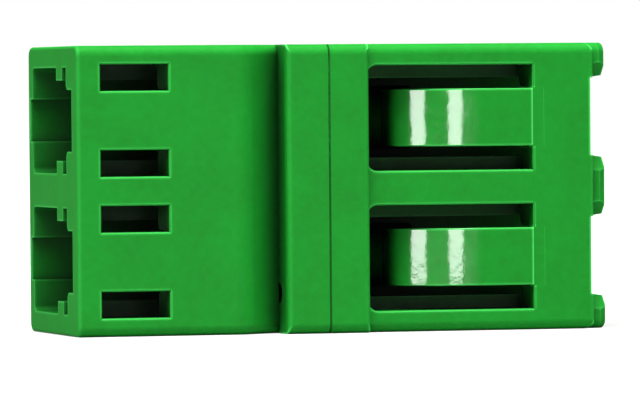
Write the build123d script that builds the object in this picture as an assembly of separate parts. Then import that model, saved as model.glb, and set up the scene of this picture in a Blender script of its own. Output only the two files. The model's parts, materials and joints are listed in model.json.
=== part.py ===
from build123d import *
import os

# Duplex adapter for two pairs of small-form fibre plugs, standing on its long narrow side.
# X runs along the mating axis from the rear mouth to the front mouth, -Y is the latch side,
# Z runs across the two ports. The origin is the middle of the footprint. Millimetres.

# Interface set by the plugs
port_pitch = 6.25          # between the two optical axes
port_width = 4.72          # room for a plug body, across
port_height = 4.60         # room for a plug body, from the rails to the floor
catch_reach = 9.98         # optical plane to the wall that a plug's latch pulls against
nose_reach = 1.80          # optical plane to the web that a plug's nose stops short of

# Overall body
side_wall = 0.95           # from a port to the narrow side beside it
body_height = 9.40         # latch side to floor side, without the collar
edge_radius = 0.45         # long outer edges
rear_catch_wall = 1.07     # wall between the rear mouth and its lug windows
front_band = 2.85          # wall on the latch side in front of the long windows
front_lip = 0.70           # port walls stand this far past the band
lip_step = 0.40            # and lie this far below it
band_edge_radius = 0.14    # band's end edge, above the lip
rear_mouth_radius = 0.15
front_mouth_radius = 0.12
mouth_lead_length = 0.30    # lip's latch side slopes down to the mouth
mouth_lead_depth = 0.20

# Collar and seam between the two halves
collar_stand = 0.45        # collar above the latch and floor sides
collar_rear = 1.56         # optical plane to the collar's rear face
collar_front = 2.23        # optical plane to the collar's front face
collar_radius = 0.20
seam_offset = 0.38         # seam in front of the optical plane
seam_break = 0.04          # broken edge that shows as a fine line

# Ramped recess in front of the collar's rear face
ramp_length = 1.80
ramp_depth = 1.15
ramp_lead_radius = 1.50

# Section of a port, latch side to floor side
roof_wall = 1.00
shoulder_height = 1.05     # shoulders either side of the latch stem slot
lug_height = 0.75          # groove for the latch lugs, below the shoulders
stem_slot_width = 2.74
rail_gap = 3.58            # between the two guide rails
floor_wall = 0.90
floor_groove_width = 1.90
floor_groove_depth = 0.50
shoulder_chamfer = 0.20
floor_corner_radius = 0.25
lug_groove_length = 4.60
slope_lead = 0.25          # the stem slot slopes down this far before the ramp does

# Windows in the latch side
lug_window_length = 3.11
lug_window_inner = 1.304   # from the optical axis to the window's inner edge
lug_window_outer = 2.486
window_corner_radius = 0.50
rim_break = 0.06

# Sprung tongues in the long windows
tongue_width = 2.58
tongue_wall = 0.60
tongue_root = 0.20         # flex line in front of the window's end
tongue_flat = 3.44         # straight stretch, flush with the latch side
tongue_bend_radius = 3.30  # middle of the wall, first bend
tongue_bend_angle = 48
tongue_hook_radius = 1.15  # middle of the wall, second bend
tongue_hook_angle = 40
tongue_tip = 0.60
tongue_edge = 0.06
root_clearance = 0.03

# Alignment sleeves and the barrels that hold them
sleeve_bore_radius = 0.625   # as a ferrule opens it
sleeve_wall = 0.185
sleeve_length = 11.40
sleeve_slit = 0.30
sleeve_clearance = 0.04
sleeve_end_play = 0.05
ferrule_clearance = 0.095    # round a ferrule, where the barrel's lip holds the sleeve
barrel_wall = 0.60
barrel_lip = 0.45            # lip past the sleeve's end
barrel_flare = 0.20          # the lip's bore widens by this to its tip
barrel_tip_chamfer = 0.30

# Locating pegs across the seam
peg_radius = 0.435
peg_length = 1.50
peg_clearance = 0.04
peg_inset = 1.80           # from the narrow side
peg_depth = 1.15           # from the latch side or the floor side
peg_hole_depth = 1.60
peg_lead = 0.12
hole_break_out = 0.05      # the through hole ends this far past the collar's rear face

# Notch between the lip's port walls
lip_notch_width = 3.48
lip_notch_setback = 0.14    # reaches this far into the band
lip_lead = 0.63
lip_draft = 8              # the notch widens to the mouth, degrees a side

overshoot = 1.0            # cutters pass this far through open ends
lap = 0.1                  # added forms start this far inside what they join
near = 0.001               # how closely an edge or corner is picked by its place

body_width = port_pitch + port_width + 2 * side_wall

# Places along the mating axis
overall_length = 2 * catch_reach + rear_catch_wall + front_band + front_lip
rear_mouth_x = -overall_length / 2
optical_x = rear_mouth_x + rear_catch_wall + catch_reach
front_mouth_x = overall_length / 2
band_end_x = front_mouth_x - front_lip
rear_catch_x = optical_x - catch_reach
front_catch_x = optical_x + catch_reach
rear_web_x = optical_x - nose_reach
front_web_x = optical_x + nose_reach
collar_rear_x = optical_x - collar_rear
collar_front_x = optical_x + collar_front
seam_x = optical_x + seam_offset
flex_x = front_catch_x + tongue_root

# Places from the latch side (-Y) to the floor side (+Y)
latch_y = -body_height / 2
floor_side_y = body_height / 2
slot_y = latch_y + roof_wall
lug_y = slot_y + shoulder_height
rail_y = lug_y + lug_height
floor_y = floor_side_y - floor_wall
cavity_y = floor_y - port_height
groove_y = floor_y + floor_groove_depth
axis_y = (cavity_y + floor_y) / 2

# The two ports
port_axes = {
    "upper": body_width / 2 + port_pitch / 2,
    "lower": body_width / 2 - port_pitch / 2,
}

sleeve_radius = sleeve_bore_radius + sleeve_wall
lip_bore_radius = sleeve_bore_radius + ferrule_clearance
pocket_radius = sleeve_radius + sleeve_clearance
pocket_half = sleeve_length / 2 + sleeve_end_play
barrel_radius = pocket_radius + barrel_wall


def block(x0, x1, y0, y1, z0, z1):
    """Rectangular cutter between two corners."""
    return Pos((x0 + x1) / 2, (y0 + y1) / 2, (z0 + z1) / 2) * Box(x1 - x0, y1 - y0, z1 - z0)


def rod(x0, x1, y, z, radius):
    """Round bar along the mating axis."""
    return Pos((x0 + x1) / 2, y, z) * Rot(0, 90, 0) * Cylinder(radius, x1 - x0)


def edges_at(shape, axis, place):
    """Edges that lie in the plane at one place along an axis."""
    return shape.edges().filter_by_position(axis, place - near, place + near)


def corners_at(face, places):
    """Corners of a flat outline near the given points."""
    return [v for v in face.vertices() if any((v.center() - Vector(p)).length < near for p in places)]


def carried(section, x0, x1, axis_z):
    """A section across the mating axis carried along it from x0 to x1."""
    return extrude(Plane.YZ.offset(x0) * Pos(0, axis_z) * section, x1 - x0)


def collar_half(collar_x):
    """One half of the collar: its rounded side view crossed with its rounded end view."""
    height = body_height + 2 * collar_stand
    x0, x1 = sorted((seam_x, collar_x))
    side = Pos((x0 + x1) / 2, 0) * Rectangle(x1 - x0, height)
    side = fillet(corners_at(side, [(collar_x, -height / 2), (collar_x, height / 2)]), collar_radius)
    end = RectangleRounded(height, body_width, edge_radius)
    return extrude(side, body_width) & carried(end, x0, x1, body_width / 2)


def moulded_block(side, mouth_x, mouth_radius, collar_x):
    """One half's outer form: its side view carried across the width, then its half of the collar."""
    body = extrude(side, body_width)
    rims = edges_at(body, Axis.Z, 0) + edges_at(body, Axis.Z, body_width)
    ends = edges_at(body, Axis.X, collar_x) + edges_at(body, Axis.X, mouth_x)
    body = fillet([e for e in rims if e not in ends], edge_radius)
    body = fillet(edges_at(body, Axis.X, mouth_x), mouth_radius)
    body += collar_half(collar_x)
    return chamfer(edges_at(body, Axis.X, seam_x), seam_break)


def rear_side_view():
    """Side view of the rear half up to the collar, with the ramped recess that runs down to it."""
    ramp_x = collar_rear_x - ramp_length
    outline = Polyline(
        (rear_mouth_x, latch_y),
        (ramp_x, latch_y),
        (collar_rear_x, latch_y + ramp_depth),
        (collar_rear_x, floor_side_y),
        (rear_mouth_x, floor_side_y),
        close=True,
    )
    face = make_face(outline)
    return fillet(corners_at(face, [(ramp_x, latch_y)]), ramp_lead_radius)


def front_side_view():
    """Side view of the front half from the collar on, with the stepped lip at its mouth."""
    outline = Polyline(
        (collar_front_x, latch_y),
        (band_end_x, latch_y),
        (band_end_x, latch_y + lip_step),
        (front_mouth_x - mouth_lead_length, latch_y + lip_step),
        (front_mouth_x, latch_y + lip_step + mouth_lead_depth),
        (front_mouth_x, floor_side_y),
        (collar_front_x, floor_side_y),
        close=True,
    )
    return make_face(outline)


def band_edge():
    """Cutter that rounds the band's end edge: a square strip less the round that is left."""
    corner = Pos(band_end_x, latch_y) * Rectangle(2 * band_edge_radius, 2 * band_edge_radius)
    corner -= Pos(band_end_x - band_edge_radius, latch_y + band_edge_radius) * Circle(band_edge_radius)
    corner -= Pos(band_end_x - 2 * band_edge_radius, latch_y + band_edge_radius) * Rectangle(
        2 * band_edge_radius, 2 * band_edge_radius
    )
    corner -= Pos(band_end_x - band_edge_radius, latch_y + 2 * band_edge_radius) * Rectangle(
        2 * band_edge_radius, 2 * band_edge_radius
    )
    return extrude(corner, body_width)


def plug_section():
    """Room for a plug body: the gap between the rails, the cavity and the groove in its floor."""
    half = Polyline(
        (rail_y, 0),
        (rail_y, rail_gap / 2),
        (cavity_y, rail_gap / 2),
        (cavity_y, port_width / 2),
        (floor_y, port_width / 2),
        (floor_y, floor_groove_width / 2),
        (groove_y, floor_groove_width / 2),
        (groove_y, 0),
        close=True,
    )
    face = make_face(half)
    face += mirror(face, about=Plane.XZ)
    floor_corners = [(floor_y, way * port_width / 2) for way in (-1, 1)]
    return fillet(corners_at(face, floor_corners), floor_corner_radius)


def lug_section():
    """Groove for the latch lugs, open to the stem slot between chamfered shoulders."""
    half = Polyline(
        (slot_y, 0),
        (slot_y, stem_slot_width / 2),
        (lug_y - shoulder_chamfer, stem_slot_width / 2),
        (lug_y, stem_slot_width / 2 + shoulder_chamfer),
        (lug_y, port_width / 2),
        (rail_y, port_width / 2),
        (rail_y, 0),
        close=True,
    )
    face = make_face(half)
    return face + mirror(face, about=Plane.XZ)


def barrel(web_x, way, axis_z):
    """Half-length barrel on the web, and the bore that its sleeve lies in, with a flared lip at its tip."""
    lip_x = optical_x + way * pocket_half
    tip_x = lip_x + way * barrel_lip
    x0, x1 = sorted((web_x - way * lap, tip_x))
    tube = rod(x0, x1, axis_y, axis_z, barrel_radius)
    tube = chamfer(edges_at(tube, Axis.X, tip_x), barrel_tip_chamfer)
    p0, p1 = sorted((seam_x - way * overshoot, lip_x))
    lip_length = barrel_lip + lap
    lip_bore = Pos(lip_x, axis_y, axis_z) * Rot(0, way * 90, 0) * Cone(
        lip_bore_radius,
        lip_bore_radius + barrel_flare * lip_length / barrel_lip,
        lip_length,
        align=(Align.CENTER, Align.CENTER, Align.MIN),
    )
    return tube, rod(p0, p1, axis_y, axis_z, pocket_radius) + lip_bore


def rear_port(axis_z):
    """Cutters for one rear port: plug room, lug groove, sloping stem slot and two lug windows."""
    slope_x = collar_rear_x - ramp_length - slope_lead
    slope_end_y = slot_y + ramp_depth / ramp_length * (rear_web_x - slope_x)
    stem = Polyline(
        (rear_mouth_x - overshoot, slot_y),
        (slope_x, slot_y),
        (rear_web_x, slope_end_y),
        (rear_web_x, rail_y),
        (rear_mouth_x - overshoot, rail_y),
        close=True,
    )
    cut = carried(plug_section(), rear_mouth_x - overshoot, rear_web_x, axis_z)
    cut += carried(lug_section(), rear_mouth_x - overshoot, rear_mouth_x + lug_groove_length, axis_z)
    cut += Pos(0, 0, axis_z - stem_slot_width / 2) * extrude(make_face(stem), stem_slot_width)
    for way in (-1, 1):
        z0, z1 = sorted((axis_z + way * lug_window_inner, axis_z + way * lug_window_outer))
        cut += block(rear_catch_x, rear_catch_x + lug_window_length, latch_y - overshoot, rail_y, z0, z1)
    return cut


def long_window(axis_z):
    """Window over a front port, rounded at its collar end, with its rim broken on the latch side."""
    x0, x1 = collar_front_x, front_catch_x
    opening = Pos((x0 + x1) / 2, axis_z) * Rectangle(x1 - x0, port_width)
    ends = [(x0, axis_z + way * port_width / 2) for way in (-1, 1)]
    opening = fillet(corners_at(opening, ends), window_corner_radius)
    inner = Plane((0, rail_y, 0), x_dir=(1, 0, 0), z_dir=(0, -1, 0))
    rim = Plane((0, latch_y + rim_break, 0), x_dir=(1, 0, 0), z_dir=(0, -1, 0))
    window = extrude(inner * opening, rail_y - latch_y + overshoot)
    broken = extrude(rim * opening, 2 * rim_break, taper=-45)
    clear_of_collar = block(x0, x1 + overshoot, latch_y - overshoot, rail_y, 0, body_width)
    return window + (broken & clear_of_collar)


def tongue_seat(axis_z):
    """Concave seat in the band that a tongue's root turns in."""
    reach = tongue_wall / 2 + root_clearance
    half = tongue_width / 2 + root_clearance
    centre_y = latch_y + tongue_wall / 2
    top_y = latch_y - overshoot
    slot = block(front_catch_x - overshoot, flex_x, top_y, centre_y + reach, axis_z - half, axis_z + half)
    return slot + Pos(flex_x, centre_y, axis_z) * Cylinder(reach, 2 * half)


def lip_notch(axis_z):
    """Opening between the lip's port walls, with sloping leads, that widens to the mouth."""
    lip_y = latch_y + lip_step
    half = lip_notch_width / 2
    outline = Polyline(
        (latch_y - overshoot, half + lip_lead),
        (lip_y, half + lip_lead),
        (lip_y + lip_lead, half),
        (rail_y, half),
        (rail_y, -half),
        (lip_y + lip_lead, -half),
        (lip_y, -half - lip_lead),
        (latch_y - overshoot, -half - lip_lead),
        close=True,
    )
    face = Plane.YZ.offset(band_end_x) * Pos(0, axis_z) * make_face(outline)
    leads = extrude(face, front_lip + lap, taper=-lip_draft)
    start_x = band_end_x - lip_notch_setback
    return leads + block(start_x, band_end_x + lap, latch_y - overshoot, rail_y, axis_z - half, axis_z + half)


def front_port(axis_z):
    """Cutters for one front port: plug room, lug groove, window, tongue seat and lip notch."""
    cut = carried(plug_section(), front_web_x, front_mouth_x + overshoot, axis_z)
    cut += carried(lug_section(), front_catch_x - overshoot, front_mouth_x + overshoot, axis_z)
    cut += long_window(axis_z)
    cut += tongue_seat(axis_z)
    cut += lip_notch(axis_z)
    return cut


def broken_rims(body, x0, x1):
    """Breaks the window edges on the latch side between two places along the axis."""
    rims = edges_at(body, Axis.Y, latch_y).filter_by_position(Axis.X, x0 - near, x1 + near)
    rims = rims.filter_by_position(Axis.Z, edge_radius + near, body_width - edge_radius - near)
    return chamfer(rims, rim_break)


def peg_places():
    """Two pegs, one low on the latch side and one high on the floor side."""
    return {
        "through": (latch_y + peg_depth, peg_inset),
        "blind": (floor_side_y - peg_depth, body_width - peg_inset),
    }


def housing_rear():
    body = moulded_block(rear_side_view(), rear_mouth_x, rear_mouth_radius, collar_rear_x)
    for axis_z in port_axes.values():
        body -= rear_port(axis_z)
    body = broken_rims(body, rear_catch_x, rear_catch_x + lug_window_length)
    for axis_z in port_axes.values():
        tube, bore = barrel(rear_web_x, -1, axis_z)
        body = body + tube - bore
    hole_radius = peg_radius + peg_clearance
    hole_ends = {"through": collar_rear_x - hole_break_out, "blind": seam_x - peg_hole_depth}
    for name, (y, z) in peg_places().items():
        body -= rod(hole_ends[name], seam_x + overshoot, y, z, hole_radius)
    return body


def housing_front():
    body = moulded_block(front_side_view(), front_mouth_x, front_mouth_radius, collar_front_x)
    body -= band_edge()
    for axis_z in port_axes.values():
        body -= front_port(axis_z)
    for axis_z in port_axes.values():
        tube, bore = barrel(front_web_x, 1, axis_z)
        body = body + tube - bore
    for y, z in peg_places().values():
        peg = rod(seam_x - peg_length, seam_x + lap, y, z, peg_radius)
        body += chamfer(edges_at(peg, Axis.X, seam_x - peg_length), peg_lead)
    return body


def alignment_sleeve(axis_z):
    """Split sleeve: a thin tube with one slit along its length, towards the latch side."""
    half = sleeve_length / 2
    tube = rod(optical_x - half, optical_x + half, axis_y, axis_z, sleeve_radius)
    tube -= rod(optical_x - half, optical_x + half, axis_y, axis_z, sleeve_bore_radius)
    slit = block(
        optical_x - half,
        optical_x + half,
        axis_y - 2 * sleeve_radius,
        axis_y,
        axis_z - sleeve_slit / 2,
        axis_z + sleeve_slit / 2,
    )
    return tube - slit


def spring_tongue(axis_z):
    """Tongue: round root, flat stretch flush with the latch side, then two bends into the port."""
    middle_y = latch_y + tongue_wall / 2
    flat = Line((flex_x, middle_y), (flex_x - tongue_flat, middle_y))
    bend = JernArc(flat @ 1, flat % 1, tongue_bend_radius, -tongue_bend_angle)
    hook = JernArc(bend @ 1, bend % 1, tongue_hook_radius, -tongue_hook_angle)
    tip = Line(hook @ 1, hook @ 1 + (hook % 1) * tongue_tip)
    strip = trace([flat, bend, hook, tip], tongue_wall)
    for end in (flat @ 0, tip @ 1):
        strip += Pos(end.X, end.Y) * Circle(tongue_wall / 2)
    tongue = Pos(0, 0, axis_z - tongue_width / 2) * extrude(strip, tongue_width)
    sides = [axis_z - tongue_width / 2, axis_z + tongue_width / 2]
    rims = edges_at(tongue, Axis.Z, sides[0]) + edges_at(tongue, Axis.Z, sides[1])
    return chamfer(rims, tongue_edge)


nodes = {"housing_rear": housing_rear(), "housing_front": housing_front()}
for name, axis_z in port_axes.items():
    nodes["alignment_sleeve_" + name] = alignment_sleeve(axis_z)
    nodes["spring_tongue_" + name] = spring_tongue(axis_z)

os.makedirs("parts", exist_ok=True)
for name, shape in nodes.items():
    export_step(shape, f"parts/{name}.step")
    print(f"{name}: {shape.volume:.2f} mm3, {len(shape.solids())} solid")
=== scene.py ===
import json
import math
import random

import bmesh
import bpy
from mathutils import Matrix, Vector


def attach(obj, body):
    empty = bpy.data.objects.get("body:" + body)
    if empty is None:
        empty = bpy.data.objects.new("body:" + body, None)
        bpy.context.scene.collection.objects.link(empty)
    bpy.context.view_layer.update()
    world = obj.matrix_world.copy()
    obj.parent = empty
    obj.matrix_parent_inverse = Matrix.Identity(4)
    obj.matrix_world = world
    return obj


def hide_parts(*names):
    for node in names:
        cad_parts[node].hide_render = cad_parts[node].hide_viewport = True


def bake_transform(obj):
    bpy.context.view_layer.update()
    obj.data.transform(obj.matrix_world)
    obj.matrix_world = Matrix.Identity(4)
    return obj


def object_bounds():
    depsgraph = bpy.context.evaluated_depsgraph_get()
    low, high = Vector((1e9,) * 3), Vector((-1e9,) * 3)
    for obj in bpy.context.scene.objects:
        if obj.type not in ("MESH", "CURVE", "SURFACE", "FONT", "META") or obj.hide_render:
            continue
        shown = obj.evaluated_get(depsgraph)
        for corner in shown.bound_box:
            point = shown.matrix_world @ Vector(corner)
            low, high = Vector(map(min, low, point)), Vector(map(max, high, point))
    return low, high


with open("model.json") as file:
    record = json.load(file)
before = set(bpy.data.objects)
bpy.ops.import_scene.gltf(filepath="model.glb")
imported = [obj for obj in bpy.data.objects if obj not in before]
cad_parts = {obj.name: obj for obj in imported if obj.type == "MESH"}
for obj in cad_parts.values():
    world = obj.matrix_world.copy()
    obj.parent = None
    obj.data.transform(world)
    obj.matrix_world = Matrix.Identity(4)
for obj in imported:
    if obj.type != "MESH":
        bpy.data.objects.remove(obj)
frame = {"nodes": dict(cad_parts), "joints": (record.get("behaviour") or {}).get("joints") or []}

mm = 0.001
hair = 0.001 * mm             # tells places apart that are meant to be the same
occlusionRays = 8
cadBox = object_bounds()
scene = bpy.context.scene
scene.view_settings.view_transform = "Standard"
nodes = frame["nodes"]
joints = {j["child"]: j for j in frame["joints"]}
print("frame loaded:", ", ".join(sorted(nodes)))


# Helpers that every material and piece uses

def hexColour(code):
    # sRGB hex to the linear colour that a socket takes
    channels = [int(code[i:i + 2], 16) / 255 for i in (1, 3, 5)]
    return [c / 12.92 if c <= 0.04045 else ((c + 0.055) / 1.055) ** 2.4 for c in channels] + [1.0]


def addNode(tree, kind, settings=None, **links):
    # settings are a node's properties, or its inputs by name or number
    # links are name=socket, or i0=socket for the input numbered 0
    node = tree.nodes.new("ShaderNode" + kind)
    for key, value in (settings or {}).items():
        if isinstance(key, str) and hasattr(node, key):
            setattr(node, key, value)
        else:
            node.inputs[key].default_value = value
    for key, socket in links.items():
        name = int(key[1:]) if key[1:].isdigit() else key.replace("_", " ")
        tree.links.new(node.inputs[name], socket)
    return node


def newMaterial(name):
    material = bpy.data.materials.new(name)
    material.use_nodes = True
    material.node_tree.nodes.clear()
    return material, material.node_tree


def addPiece(name, bm, material, sharp=35):
    # a finished mesh as an object at the origin, smooth but for its real edges
    bmesh.ops.recalc_face_normals(bm, faces=bm.faces)
    for face in bm.faces:
        face.smooth = True
    mesh = bpy.data.meshes.new(name)
    bm.to_mesh(mesh)
    bm.free()
    mesh.set_sharp_from_angle(angle=math.radians(sharp))
    mesh.materials.append(material)
    piece = bpy.data.objects.new(name, mesh)
    scene.collection.objects.link(piece)
    return piece


# Materials

satinPbt = {
    "colour": "#139727",
    "deepColour": "#158F24",
    "paleColour": "#1FA533",
    "cloudSize": 2.6,         # mm, flow marks
    "cloudDetail": 3.0,
    "cloudRough": 0.55,
    "cloudSpan": (0.38, 0.62),
    "fleckSize": 0.35,        # mm, patches of the tool's grain
    "fleckDetail": 2.0,
    "fleckRough": 0.6,
    "fleckSpan": (0.3, 0.7),
    "fleckAmount": 0.35,
    "grainSize": 0.09,        # mm, coarser than the real 0.03 grain so that it shows
    "grainDetail": 2.0,
    "grainRough": 0.5,
    "grainStrength": 0.22,
    "grainDepth": 0.012,      # mm
    "waveStrength": 0.10,
    "waveDepth": 0.03,        # mm
    "roughness": 0.62,
    "roughSpread": 0.05,
    "ior": 1.50,
    "specular": 0.10,
    "edgeColour": "#50E868",  # painted highlight, a paler green on convex edges
    "edgeWidth": 0.12,        # mm
    "edgeGain": 2.6,
    "portEdgeGain": 1.0,      # the painted highlight on the ports' own edges is weaker
    "portEdgeDepth": (4.1, 4.4),   # mm either side of the mating axis, where one turns into the other
    "hollowColour": "#04260A",     # deep places are painted darker than the lamps alone leave them
    "hollowReach": 8.0,       # mm
    "hollowSpan": (0.15, 0.85),
    "hollowAlone": True,      # only the piece's own walls count
    "faceDepth": (4.64, 4.69),     # mm either side of the mating axis, beyond which nothing is a hollow
    "seam": -0.86,            # mm along the adapter
    "seamGroove": (0.03, 0.07),    # mm from the seam, where the painted shade in the groove ends
    "seamShare": 0.35,        # how much of its colour the groove keeps under the painted shade
    "seamEdges": (0.12, 0.25),     # mm from the seam, where the painted edge highlight begins
}

polishedPbt = dict(
    satinPbt,
    hollowAlone=False,        # the window's walls count too, so painted shade darkens the end of the tongue
    hollowReach=4.0,
    hollowSpan=(0.15, 0.34),
    coatIor=1.5,              # the skin is as smooth as the polished steel it was moulded on
    coatRoughness=0.11,
    coatSpan=(6.4, 5.6),      # mm along the adapter, from no polish to full polish
    grainStrength=0.05,
    grainDepth=0.004,
    waveStrength=0.85,
    waveDepth=0.02,
    cloudSize=0.9,
    fleckAmount=0.2,
)

thinFilm = dict(
    satinPbt,
    colour="#5FE078",         # squeezed out so thin that it looks pale
    deepColour="#2DA83F",
    cloudSize=0.9,
    edgeGain=0.0,
    portEdgeGain=0.0,
    seamShare=1.0,
)


def spanOf(p, key):
    # a dictionary's span in mm as the two ends that a Map Range node takes
    return {1: p[key][0] * mm, 2: p[key][1] * mm}


def paintedHighlightAndShade(tree, p, place, melt):
    # painted highlights on convex edges, and painted shade in the hollows and in the seam's groove, over the
    # moulded colour
    axes = addNode(tree, "SeparateXYZ", Vector=place)
    depth = addNode(tree, "Math", {"operation": "ABSOLUTE"}, i0=axes.outputs[1]).outputs[0]
    fromSeam = addNode(tree, "Math", {"operation": "SUBTRACT", 1: p["seam"] * mm}, i0=axes.outputs[0])
    offSeam = addNode(tree, "Math", {"operation": "ABSOLUTE"}, i0=fromSeam.outputs[0]).outputs[0]

    # short rays shot into the solid reach its other faces near a convex edge; there a highlight is painted
    inside = addNode(tree, "AmbientOcclusion", {"samples": occlusionRays, "inside": True, "only_local": True,
                                                "Distance": p["edgeWidth"] * mm})
    nearEdge = addNode(tree, "Math", {"operation": "SUBTRACT", 0: 1.0}, i1=inside.outputs["AO"])
    gain = addNode(tree, "MapRange", {**spanOf(p, "portEdgeDepth"), 3: p["portEdgeGain"], 4: p["edgeGain"]},
                   Value=depth)
    away = addNode(tree, "MapRange", spanOf(p, "seamEdges"), Value=offSeam)
    edgeHighlightGain = addNode(tree, "Math", {"operation": "MULTIPLY"}, i0=gain.outputs[0], i1=away.outputs[0])
    edge = addNode(tree, "Math", {"operation": "MULTIPLY", "use_clamp": True},
                   i0=nearEdge.outputs[0], i1=edgeHighlightGain.outputs[0])
    rimmed = addNode(tree, "Mix", {"data_type": "RGBA", 7: hexColour(p["edgeColour"])},
                     i0=edge.outputs[0], i6=melt)

    # long rays shot outwards tell a port or a window from an outer face; the hollows get painted shade
    around = addNode(tree, "AmbientOcclusion", {"samples": occlusionRays, "only_local": p["hollowAlone"],
                                                "Distance": p["hollowReach"] * mm})
    low, high = p["hollowSpan"]
    openShare = addNode(tree, "MapRange", {1: low, 2: high}, Value=around.outputs["AO"])
    outer = addNode(tree, "MapRange", spanOf(p, "faceDepth"), Value=depth)
    lit = addNode(tree, "Math", {"operation": "MAXIMUM"}, i0=openShare.outputs[0], i1=outer.outputs[0])
    # the seam's groove gets painted shade as well
    grooveUnshaded = addNode(tree, "MapRange", {**spanOf(p, "seamGroove"), 3: p["seamShare"]}, Value=offSeam)
    bright = addNode(tree, "Math", {"operation": "MULTIPLY"}, i0=lit.outputs[0], i1=grooveUnshaded.outputs[0])
    colour = addNode(tree, "Mix", {"data_type": "RGBA", 6: hexColour(p["hollowColour"])},
                     i0=bright.outputs[0], i7=rimmed.outputs[2])
    return colour.outputs[2], axes.outputs[0]


def mouldedGreen(name, p):
    # PBT, injection moulded: fine spark-eroded grain from the tool, faintly uneven colour where the
    # melt flowed, never one flat green; painted highlights on its edges and painted shade in its hollows
    material, tree = newMaterial(name)
    place = addNode(tree, "TexCoord").outputs["Object"]
    pattern = {}
    for key in ("cloud", "fleck", "grain"):
        noise = addNode(tree, "TexNoise", {"Scale": 1 / (p[key + "Size"] * mm), "Detail": p[key + "Detail"],
                                           "Roughness": p[key + "Rough"]}, Vector=place)
        pattern[key] = noise.outputs["Fac"]

    cloudLow, cloudHigh = p["cloudSpan"]
    fleckLow, fleckHigh = p["fleckSpan"]
    flow = addNode(tree, "MapRange", {1: cloudLow, 2: cloudHigh}, Value=pattern["cloud"])
    speck = addNode(tree, "MapRange", {1: fleckLow, 2: fleckHigh, 4: p["fleckAmount"]}, Value=pattern["fleck"])
    melt = addNode(tree, "Mix", {"data_type": "RGBA", 6: hexColour(p["deepColour"]), 7: hexColour(p["colour"])},
                   i0=flow.outputs[0])
    grained = addNode(tree, "Mix", {"data_type": "RGBA", 7: hexColour(p["paleColour"])},
                      i0=speck.outputs[0], i6=melt.outputs[2])
    colour, along = paintedHighlightAndShade(tree, p, place, grained.outputs[2])

    satin = addNode(tree, "MapRange", {1: fleckLow, 2: fleckHigh, 3: p["roughness"] - p["roughSpread"],
                                       4: p["roughness"] + p["roughSpread"]}, Value=pattern["fleck"])
    bump = addNode(tree, "Bump", {"Strength": p["grainStrength"], "Distance": p["grainDepth"] * mm},
                   Height=pattern["grain"])
    wave = addNode(tree, "Bump", {"Strength": p["waveStrength"], "Distance": p["waveDepth"] * mm},
                   Height=pattern["cloud"], Normal=bump.outputs[0])
    shader = addNode(tree, "BsdfPrincipled", {"IOR": p["ior"], "Specular IOR Level": p["specular"]},
                     Base_Color=colour, Roughness=satin.outputs[0], Normal=wave.outputs[0])
    if "coatIor" in p:
        # the polish lies over the green, and fades along the tongue towards its root
        fade = addNode(tree, "MapRange", {"interpolation_type": "SMOOTHSTEP", **spanOf(p, "coatSpan")},
                       Value=along)
        tree.links.new(shader.inputs["Coat Weight"], fade.outputs[0])
        shader.inputs["Coat IOR"].default_value = p["coatIor"]
        shader.inputs["Coat Roughness"].default_value = p["coatRoughness"]
        tree.links.new(shader.inputs["Coat Normal"], wave.outputs[0])
    addNode(tree, "OutputMaterial", Surface=shader.outputs[0])
    return material


zirconia = {
    "colour": "#F3F0E8",
    "deepColour": "#E9E4D8",
    "roughness": 0.18,
    "ior": 2.15,
    "ringPitch": 0.23675,     # mm, coarser than the real 0.02 so that it shows
    "ringDetail": 2.0,
    "ringWander": 1.5,
    "ringStrength": 0.2,
    "ringDepth": 0.003,       # mm
    "glow": 0.1,              # share of the light that travels under the skin
    "glowReach": (0.4, 0.3, 0.2),  # mm
}


def groundZirconia(p):
    # zirconia, sintered then ground: dense cream white, glossy, with faint rings from the wheel
    material, tree = newMaterial("groundZirconia")
    place = addNode(tree, "TexCoord").outputs["Object"]
    bandsPerUnit = 20 / (2 * math.pi)  # of a Wave node at scale 1
    rings = addNode(tree, "TexWave", {"wave_type": "BANDS", "bands_direction": "X",
                                      "Detail": p["ringDetail"], "Distortion": p["ringWander"],
                                      "Scale": 1 / (p["ringPitch"] * mm * bandsPerUnit)}, Vector=place)
    shade = addNode(tree, "Mix", {"data_type": "RGBA", 6: hexColour(p["deepColour"]), 7: hexColour(p["colour"])},
                    i0=rings.outputs["Fac"])
    bump = addNode(tree, "Bump", {"Strength": p["ringStrength"], "Distance": p["ringDepth"] * mm},
                   Height=rings.outputs["Fac"])
    shader = addNode(tree, "BsdfPrincipled", {"IOR": p["ior"], "Roughness": p["roughness"],
                                              "Subsurface Weight": p["glow"],
                                              "Subsurface Radius": [r * mm for r in p["glowReach"]]},
                     Base_Color=shade.outputs[2], Normal=bump.outputs[0])
    addNode(tree, "OutputMaterial", Surface=shader.outputs[0])
    return material


satinGreen = mouldedGreen("satinPbtGreen", satinPbt)
bandGreen = mouldedGreen("satinPbtGreenBand", dict(satinPbt, edgeGain=0.0, portEdgeGain=0.0))
glossGreen = mouldedGreen("polishedPbtGreen", polishedPbt)
filmGreen = mouldedGreen("thinPbtFilm", thinFilm)
ceramicWhite = groundZirconia(zirconia)
for name, material in {
    "housing_rear": satinGreen,
    "housing_front": satinGreen,
    "alignment_sleeve_upper": ceramicWhite,
    "alignment_sleeve_lower": ceramicWhite,
    "spring_tongue_upper": glossGreen,
    "spring_tongue_lower": glossGreen,
}.items():
    nodes[name].data.materials.clear()
    nodes[name].data.materials.append(material)
print("materials made")


# Sprung tongues, each in one piece with the root that grows out of the band, with no joint line
# between them

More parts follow.
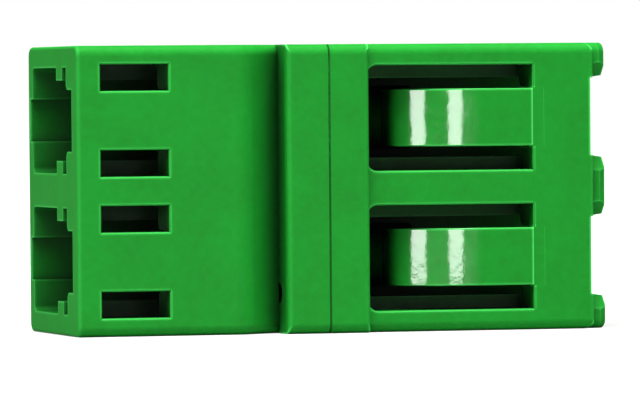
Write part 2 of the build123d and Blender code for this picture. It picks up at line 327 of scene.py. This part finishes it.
tongueShape = {
    "wall": 0.60,             # mm
    "width": 2.58,
    "seatWidth": 2.64,
    "windowEnd": 0.20,        # flex line to the end of the window
    "seatEnd": 0.1375,        # flex line to the far end of the seat, on the band's face
    "rootLap": 0.01,          # the bar starts this far inside the root
    "skinLength": 0.40,       # skin over the joint between root and band
    "skinOver": 0.17,
    "skinHeight": 0.0015,
    "flat": 3.44,
    "flatSteps": 12,
    "bendRadius": 3.30,       # middle of the wall
    "bendAngle": 48,
    "bendSteps": 24,
    "hookRadius": 1.15,
    "hookAngle": 40,
    "hookSteps": 16,
    "tip": 0.60,
    "tipRound": 0.27,
    "tipSteps": 6,
    "edgeRound": 0.06,
    "edgeSteps": 3,
    "edgeAngle": 60,          # degrees, an edge this sharp is rounded
    "shadeAngle": 10,         # degrees, an edge this sharp shows
}


def dropInner(bm, face):
    # a face that was extruded from the middle of the bar would stay as a wall inside it
    if face.is_valid and any(len(e.link_faces) > 2 for e in face.edges):
        bmesh.ops.delete(bm, geom=[face], context="FACES_ONLY")


def pullFace(bm, face, move):
    # extrudes the leading face by a move and gives the new one
    grown = bmesh.ops.extrude_face_region(bm, geom=[face])["geom"]
    bmesh.ops.translate(bm, vec=move, verts=[g for g in grown if isinstance(g, bmesh.types.BMVert)])
    dropInner(bm, face)
    return next(g for g in grown if isinstance(g, bmesh.types.BMFace))


def swingFace(bm, face, centre, angle, steps):
    # carries the leading face round a bend and gives the new one
    turned = bmesh.ops.spin(bm, geom=[face], cent=centre, axis=(0, 0, 1), dvec=(0, 0, 0),
                            angle=angle, steps=steps)
    dropInner(bm, face)
    return next(g for g in turned["geom_last"] if isinstance(g, bmesh.types.BMFace))


def crossFace(bm, x, y, z, deep, wide):
    # a rectangle across the mating axis
    made = bmesh.ops.create_grid(bm, x_segments=1, y_segments=1, size=0.5)["verts"]
    place = Matrix(((0, 0, 1, x), (deep, 0, 0, y), (0, wide, 0, z), (0, 0, 0, 1)))
    bmesh.ops.transform(bm, matrix=place, verts=made)
    return made[0].link_faces[0]


def roundEdges(bm, edges, size, steps):
    bmesh.ops.bevel(bm, geom=edges, offset=size * mm, segments=steps, profile=0.5, affect="EDGES", material=-1)


def makeTongue(node, body, t):
    joint = joints[body]
    flex = Vector(joint["pos_m"])
    wall = t["wall"] * mm
    bendAngle, hookAngle = math.radians(t["bendAngle"]), math.radians(t["hookAngle"])

    # the bar: a flat, a bend and a hook, from the root to the tip
    bm = bmesh.new()
    rootX = flex.x - (t["windowEnd"] - t["rootLap"]) * mm
    face = crossFace(bm, rootX, flex.y, flex.z, wall, t["width"] * mm)
    run = (t["flat"] - t["windowEnd"] + t["rootLap"]) * mm
    for step in range(t["flatSteps"]):
        face = pullFace(bm, face, Vector((-run / t["flatSteps"], 0, 0)))
    bendStart = Vector((flex.x - t["flat"] * mm, flex.y, flex.z))
    bendCentre = bendStart + Vector((0, t["bendRadius"] * mm, 0))
    face = swingFace(bm, face, bendCentre, -bendAngle, t["bendSteps"])
    turn = Matrix.Rotation(-bendAngle, 3, "Z")
    hookStart = bendCentre + turn @ (bendStart - bendCentre)
    hookCentre = hookStart + turn @ Vector((0, t["hookRadius"] * mm, 0))
    face = swingFace(bm, face, hookCentre, -hookAngle, t["hookSteps"])
    heading = Matrix.Rotation(-(bendAngle + hookAngle), 3, "Z") @ Vector((-1, 0, 0))
    face = pullFace(bm, face, heading * (t["tip"] * mm + wall / 2))
    roundEdges(bm, [e for e in face.edges if abs(e.verts[0].co.z - e.verts[1].co.z) > wall],
               t["tipRound"], t["tipSteps"])
    bmesh.ops.recalc_face_normals(bm, faces=bm.faces)
    roundEdges(bm, [e for e in bm.edges if len(e.link_faces) == 2
                    and e.calc_face_angle(0) > math.radians(t["edgeAngle"])
                    and min(v.co.x for v in e.verts) < rootX - hair],
               t["edgeRound"], t["edgeSteps"])

    # the root in the band's seat, and the skin over it, which are one moulding with the band on the real part
    root = crossFace(bm, flex.x - t["windowEnd"] * mm, flex.y, flex.z, wall, t["seatWidth"] * mm)
    pullFace(bm, root, Vector(((t["windowEnd"] + t["seatEnd"]) * mm, 0, 0)))
    skinX = flex.x + (t["seatEnd"] - t["skinLength"] + t["skinOver"]) * mm
    skin = crossFace(bm, skinX, flex.y - wall / 2, flex.z, 2 * t["skinHeight"] * mm,
                     (t["seatWidth"] + 2 * t["skinOver"]) * mm)
    pullFace(bm, skin, Vector((t["skinLength"] * mm, 0, 0)))
    for face in bm.faces:
        face.material_index = int(face.calc_center_median().x > rootX + hair)

    piece = addPiece(node + "_moulded", bm, glossGreen, sharp=t["shadeAngle"])
    piece.data.materials.append(bandGreen)
    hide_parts(node)
    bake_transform(piece)


for side in ("upper", "lower"):
    makeTongue("spring_tongue_" + side, side + "_tongue", tongueShape)
print("tongues made")


# Marks of the mould: flash in the seam's groove, and the line that the tool's insert left on the band

seamFlash = {
    "place": -0.868,          # mm along the adapter
    "face": -5.105,           # mm, bottom of the groove
    "width": 0.03,
    "least": 0.004,
    "most": 0.040,
    "step": 0.05,
    "lowShare": 0.25,         # most of it stands near the top
    "rise": 4,
    "seed": 7,
}
insertLine = {
    "place": 8.77,            # mm along the adapter
    "face": -4.699,
    "width": 0.05,
    "least": 0.010,
    "most": 0.016,
    "step": 0.20,
    "lowShare": 1.0,          # even all the way
    "rise": 1,
    "seed": 11,
}
ridgeInset = 0.5              # mm from the narrow sides
wander = {
    "start": 0.5,             # level that a ridge begins with
    "carry": 0.55,            # share of the last level that stays
    "fresh": 0.45,
    "sway": 0.1,              # of the ridge's width, to either side
    "steps": (0.6, 1.4),      # a step's shortest and longest share of its length
    "shadeAngle": 80,         # degrees, an edge this sharp shows
}


def addRidge(name, s, material, low, high):
    # a low ridge across the latch side, drawn out section by section while its height wanders
    dice = random.Random(s["seed"])
    bm = bmesh.new()
    face = None
    z, level = low, wander["start"]
    while z < high:
        level = wander["carry"] * level + wander["fresh"] * dice.random()
        share = s["lowShare"] + (1 - s["lowShare"]) * (z / high) ** s["rise"]
        height = s["least"] + (s["most"] - s["least"]) * level * share
        x = s["place"] + dice.uniform(-wander["sway"], wander["sway"]) * s["width"]
        section = [Vector(c) * mm for c in (
            (x - s["width"] / 2, s["face"], z),
            (x, s["face"] - height, z),
            (x + s["width"] / 2, s["face"], z),
        )]
        if face is None:
            face = bm.faces.new([bm.verts.new(c) for c in section])
        else:
            face = pullFace(bm, face, Vector((0, 0, s["step"] * mm)))
            for vert, corner in zip(sorted(face.verts, key=lambda v: v.co.x), section):
                vert.co = corner
        z += s["step"] * dice.uniform(*wander["steps"])
    piece = addPiece(name, bm, material, sharp=wander["shadeAngle"])
    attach(piece, "housing")


ridgeEnd = (cadBox[1].z - cadBox[0].z) / mm - ridgeInset
addRidge("seamFlash", seamFlash, filmGreen, ridgeInset, ridgeEnd)
addRidge("insertLine", insertLine, bandGreen, ridgeInset, ridgeEnd)
print("mould marks made")


# Stage, lights and camera

softboxes = {
    # azimuth from the latch side towards the rear mouth and elevation in degrees, the rest in metres
    "frontKey": {"azimuth": 45, "elevation": 48, "distance": 0.50, "width": 0.30, "height": 0.20, "glow": 4.7},
    "leftKey": {"azimuth": 85, "elevation": 30, "distance": 0.50, "width": 0.30, "height": 0.20, "glow": 1.5},
    "topKey": {"azimuth": 12, "elevation": 76, "distance": 0.50, "width": 0.40, "height": 0.30, "glow": 14.0},
    "backLeft": {"azimuth": 150, "elevation": 15, "distance": 0.50, "width": 0.30, "height": 0.30, "glow": 0.5},
    "rightFill": {"azimuth": -75, "elevation": 25, "distance": 0.50, "width": 0.25, "height": 0.25, "glow": 0.6},
}
cards = {
    # two bright cards close to the latch side, whose reflections are the white streaks on the tongues;
    # they light no diffuse surface, and turn is half their width in degrees
    "frontCard": {"azimuth": -5, "turn": 10.2, "glow": 16},
    "sideCard": {"azimuth": 51, "turn": 10.6, "glow": 16},
}
cardPlace = {"focus": (4.1, -4.5), "distance": 55, "low": 0.2, "high": 14.0}  # mm
studio = {
    "worldLevel": 0.05,
    "paper": "#A6A6A4",
    "floorHalf": 2.0,         # m
    "lift": 0.5,              # at the adapter, below 1, so that the contact shadow stays
    "liftSpan": (12, 50),     # mm from the adapter, to full white
}


def direction(azimuth, elevation):
    a, e = math.radians(azimuth), math.radians(elevation)
    return Vector((-math.sin(a) * math.cos(e), -math.cos(a) * math.cos(e), math.sin(e)))


def addLamp(name, place, facing, width, height, glow):
    lamp = bpy.data.lights.new(name, "AREA")
    lamp.shape = "RECTANGLE"
    lamp.size, lamp.size_y = width, height
    lamp.energy = glow * math.pi * width * height
    holder = bpy.data.objects.new(name, lamp)
    holder.location = place
    holder.rotation_mode = "QUATERNION"
    holder.rotation_quaternion = facing.to_track_quat("Z", "Y")
    holder.visible_camera = False
    scene.collection.objects.link(holder)
    return holder


middle = (cadBox[0] + cadBox[1]) / 2
for name, s in softboxes.items():
    away = direction(s["azimuth"], s["elevation"])
    addLamp(name, middle + away * s["distance"], away, s["width"], s["height"], s["glow"])

reach = cardPlace["distance"] * mm
cardHeight = (cardPlace["high"] - cardPlace["low"]) * mm
focusX, focusY = cardPlace["focus"]
focus = Vector((focusX * mm, focusY * mm, cardPlace["low"] * mm + cardHeight / 2))
for name, c in cards.items():
    away = direction(c["azimuth"], 0)
    span = 2 * reach * math.tan(math.radians(c["turn"]))
    card = addLamp(name, focus + away * reach, away, span, cardHeight, c["glow"])
    card.visible_diffuse = False


def addWorld(s):
    # plain white to the camera, a lower even light on the object
    world = bpy.data.worlds.new("studioWorld")
    scene.world = world
    world.use_nodes = True
    tree = world.node_tree
    tree.nodes.clear()
    path = addNode(tree, "LightPath")
    room = addNode(tree, "Background", {"Color": hexColour("#FFFFFF"), "Strength": s["worldLevel"]})
    paper = addNode(tree, "Background", {"Color": hexColour("#FFFFFF"), "Strength": 1.0})
    seen = addNode(tree, "MixShader", Fac=path.outputs["Is Camera Ray"], i1=room.outputs[0], i2=paper.outputs[0])
    addNode(tree, "OutputWorld", Surface=seen.outputs[0])


def addFloor(s):
    # matt paper, lifted to white for the camera, so that only the contact shadow is left on it
    material, tree = newMaterial("paperFloor")
    path = addNode(tree, "LightPath")
    place = addNode(tree, "TexCoord").outputs["Object"]
    matt = addNode(tree, "BsdfDiffuse", {"Color": hexColour(s["paper"])})
    away = addNode(tree, "VectorMath", {"operation": "LENGTH"}, i0=place).outputs["Value"]
    rise = addNode(tree, "MapRange", {**spanOf(s, "liftSpan"), 3: s["lift"]}, Value=away)
    white = addNode(tree, "Math", {"operation": "MULTIPLY"}, i0=rise.outputs[0], i1=path.outputs["Is Camera Ray"])
    lift = addNode(tree, "Emission", {"Color": hexColour("#FFFFFF")}, Strength=white.outputs[0])
    both = addNode(tree, "AddShader", i0=matt.outputs[0], i1=lift.outputs[0])
    addNode(tree, "OutputMaterial", Surface=both.outputs[0])
    bm = bmesh.new()
    bmesh.ops.create_grid(bm, x_segments=1, y_segments=1, size=s["floorHalf"])
    addPiece("studioFloor", bm, material)


addWorld(studio)
addFloor(studio)

photoView = {
    "width": 640,             # px
    "focal": 6731,            # px
    "sensor": 36.0,           # mm
    "yaw": 15.57,             # degrees round towards the rear mouth
    "pitch": 0.97,
    "roll": -0.47,
    "distance": 299.4,        # mm
    "target": (-1.21, -4.70, 5.786),
    "clip": (0.01, 20),       # m
}


def addCamera(v):
    yaw, pitch, roll = (math.radians(v[k]) for k in ("yaw", "pitch", "roll"))
    forward = Vector((math.sin(yaw) * math.cos(pitch), math.cos(yaw) * math.cos(pitch), -math.sin(pitch)))
    level = Vector((math.cos(yaw), -math.sin(yaw), 0))
    upright = level.cross(forward)
    right = level * math.cos(roll) + upright * math.sin(roll)
    up = upright * math.cos(roll) - level * math.sin(roll)
    lens = bpy.data.cameras.new("photoCamera")
    lens.sensor_width = v["sensor"]
    lens.lens = v["focal"] * v["sensor"] / v["width"]
    lens.clip_start, lens.clip_end = v["clip"]
    camera = bpy.data.objects.new("photoCamera", lens)
    turn = Matrix((right, up, -forward)).transposed().to_4x4()
    camera.matrix_world = Matrix.Translation(Vector(v["target"]) * mm - forward * v["distance"] * mm) @ turn
    scene.collection.objects.link(camera)
    scene.camera = camera


addCamera(photoView)
print("stage, lights and camera placed")
